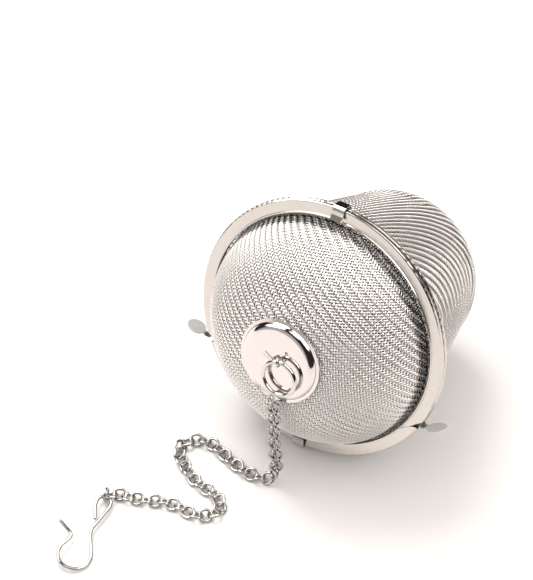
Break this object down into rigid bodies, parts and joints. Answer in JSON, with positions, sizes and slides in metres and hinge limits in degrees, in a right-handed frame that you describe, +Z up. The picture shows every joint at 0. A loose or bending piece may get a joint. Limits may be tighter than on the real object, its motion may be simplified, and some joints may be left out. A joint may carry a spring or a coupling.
{
  "type": "tea infuser",
  "caption": "Round mesh tea infuser lying on its side: deep mesh basket, domed mesh lid that turns under two clips, cap, chain and hook.",
  "frame": {"origin": "on the surface it lies on, below the middle of the infuser without its free chain", "axes": "+Z up; the lid faces -Y and a little up; the chain lies on the surface towards -X and -Y"},
  "size_m": [0.0858, 0.1418, 0.0768],
  "materials": {
    "mesh_steel": "woven stainless wire",
    "ring_steel": "bright sheet, fine marks across the band and faint streaks along it",
    "clip_steel": "bright sheet",
    "cap_steel": "polished sheet, fine circular lines",
    "wire_steel": "polished wire",
    "chain_steel": "polished wire links"
  },
  "bodies": {
    "basket": {"basket_mesh": "mesh_steel", "basket_ring": "ring_steel", "latch_clip_bottom": "clip_steel", "latch_clip_top": "clip_steel"},
    "lid": {"lid_mesh": "mesh_steel", "lid_ring": "ring_steel", "thumb_tab_left": "clip_steel", "thumb_tab_right": "clip_steel", "cap": "cap_steel", "cap_backing_disc": "cap_steel"},
    "eye": {"eye_pin": "wire_steel", "chain": "chain_steel", "end_ring": "wire_steel"},
    "jump_ring": {"jump_ring": "wire_steel"},
    "hook": {"chain_hook": "wire_steel"}
  },
  "joints": [
    {"name": "lid_turn", "type": "hinge", "parent": "basket", "child": "lid", "pos_m": [-0.00079, -0.01614, 0.03887], "axis": [0, -0.9511, 0.309], "range_deg": [-62, 56]},
    {"name": "eye_swivel", "type": "hinge", "parent": "lid", "child": "eye", "pos_m": [-0.00079, -0.01614, 0.03887], "axis": [0, -0.9511, 0.309], "range_deg": [-56, 62]},
    {"name": "jump_ring_swing", "type": "hinge", "parent": "eye", "child": "jump_ring", "pos_m": [0.00061, -0.03869, 0.04809], "axis": [-0.9799, -0.0616, -0.1896], "range_deg": [0, 100]},
    {"name": "hook_swing", "type": "hinge", "parent": "eye", "child": "hook", "pos_m": [-0.03586, -0.07403, 0.00178], "axis": [0, 0, 1], "range_deg": [-30, 30]}
  ],
  "couplings": [
    {"joint": "eye_swivel", "follows": "lid_turn", "ratio": -1}
  ]
}
